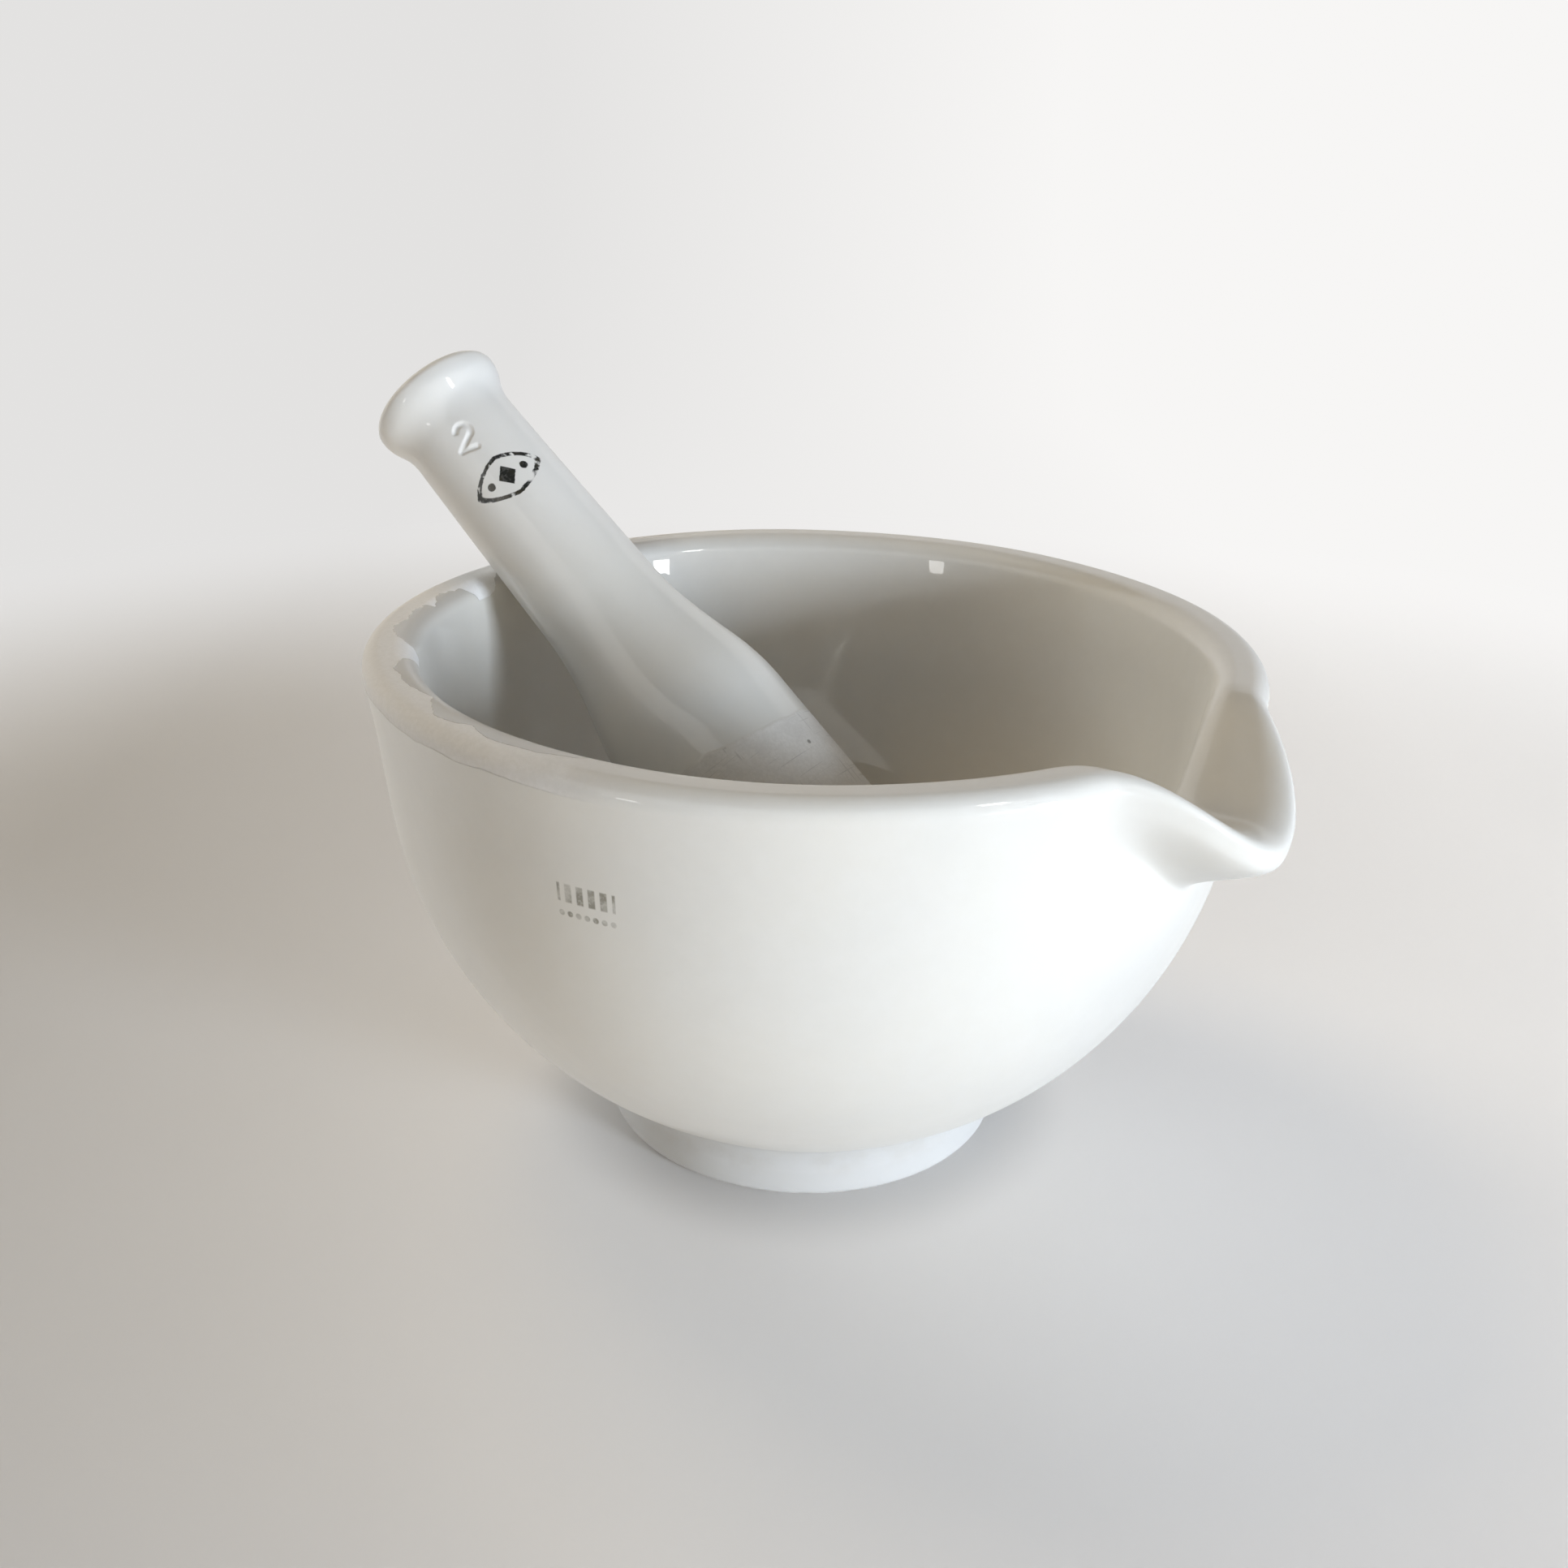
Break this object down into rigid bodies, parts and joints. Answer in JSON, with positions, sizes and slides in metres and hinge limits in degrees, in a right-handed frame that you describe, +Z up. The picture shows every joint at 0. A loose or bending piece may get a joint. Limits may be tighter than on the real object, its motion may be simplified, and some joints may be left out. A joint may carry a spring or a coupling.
{
  "type": "mortar and pestle",
  "caption": "Porcelain mortar, a round bowl on a short foot with a flat rim and a pressed pouring spout, with a one-piece pestle leaning in it.",
  "frame": {"origin": "centre of the flat underside of the mortar's foot", "axes": "+Z up along the bowl's axis, +X out along the spout"},
  "size_m": [0.1787, 0.15, 0.1295],
  "materials": {
    "mortar_porcelain": "white hard porcelain under a clear glossy glaze, with the standing face of the foot left unglazed",
    "pestle_porcelain": "white hard porcelain with a clear glossy glaze on the handle and an unglazed matt grinding head"
  },
  "bodies": {
    "mortar": {"mortar": "mortar_porcelain"},
    "pestle": {"pestle": "pestle_porcelain"}
  },
  "joints": [
    {"name": "pestle_lift", "type": "slide", "parent": "mortar", "child": "pestle", "axis": [0, 0, 1], "range_m": [0, 0.15]}
  ]
}
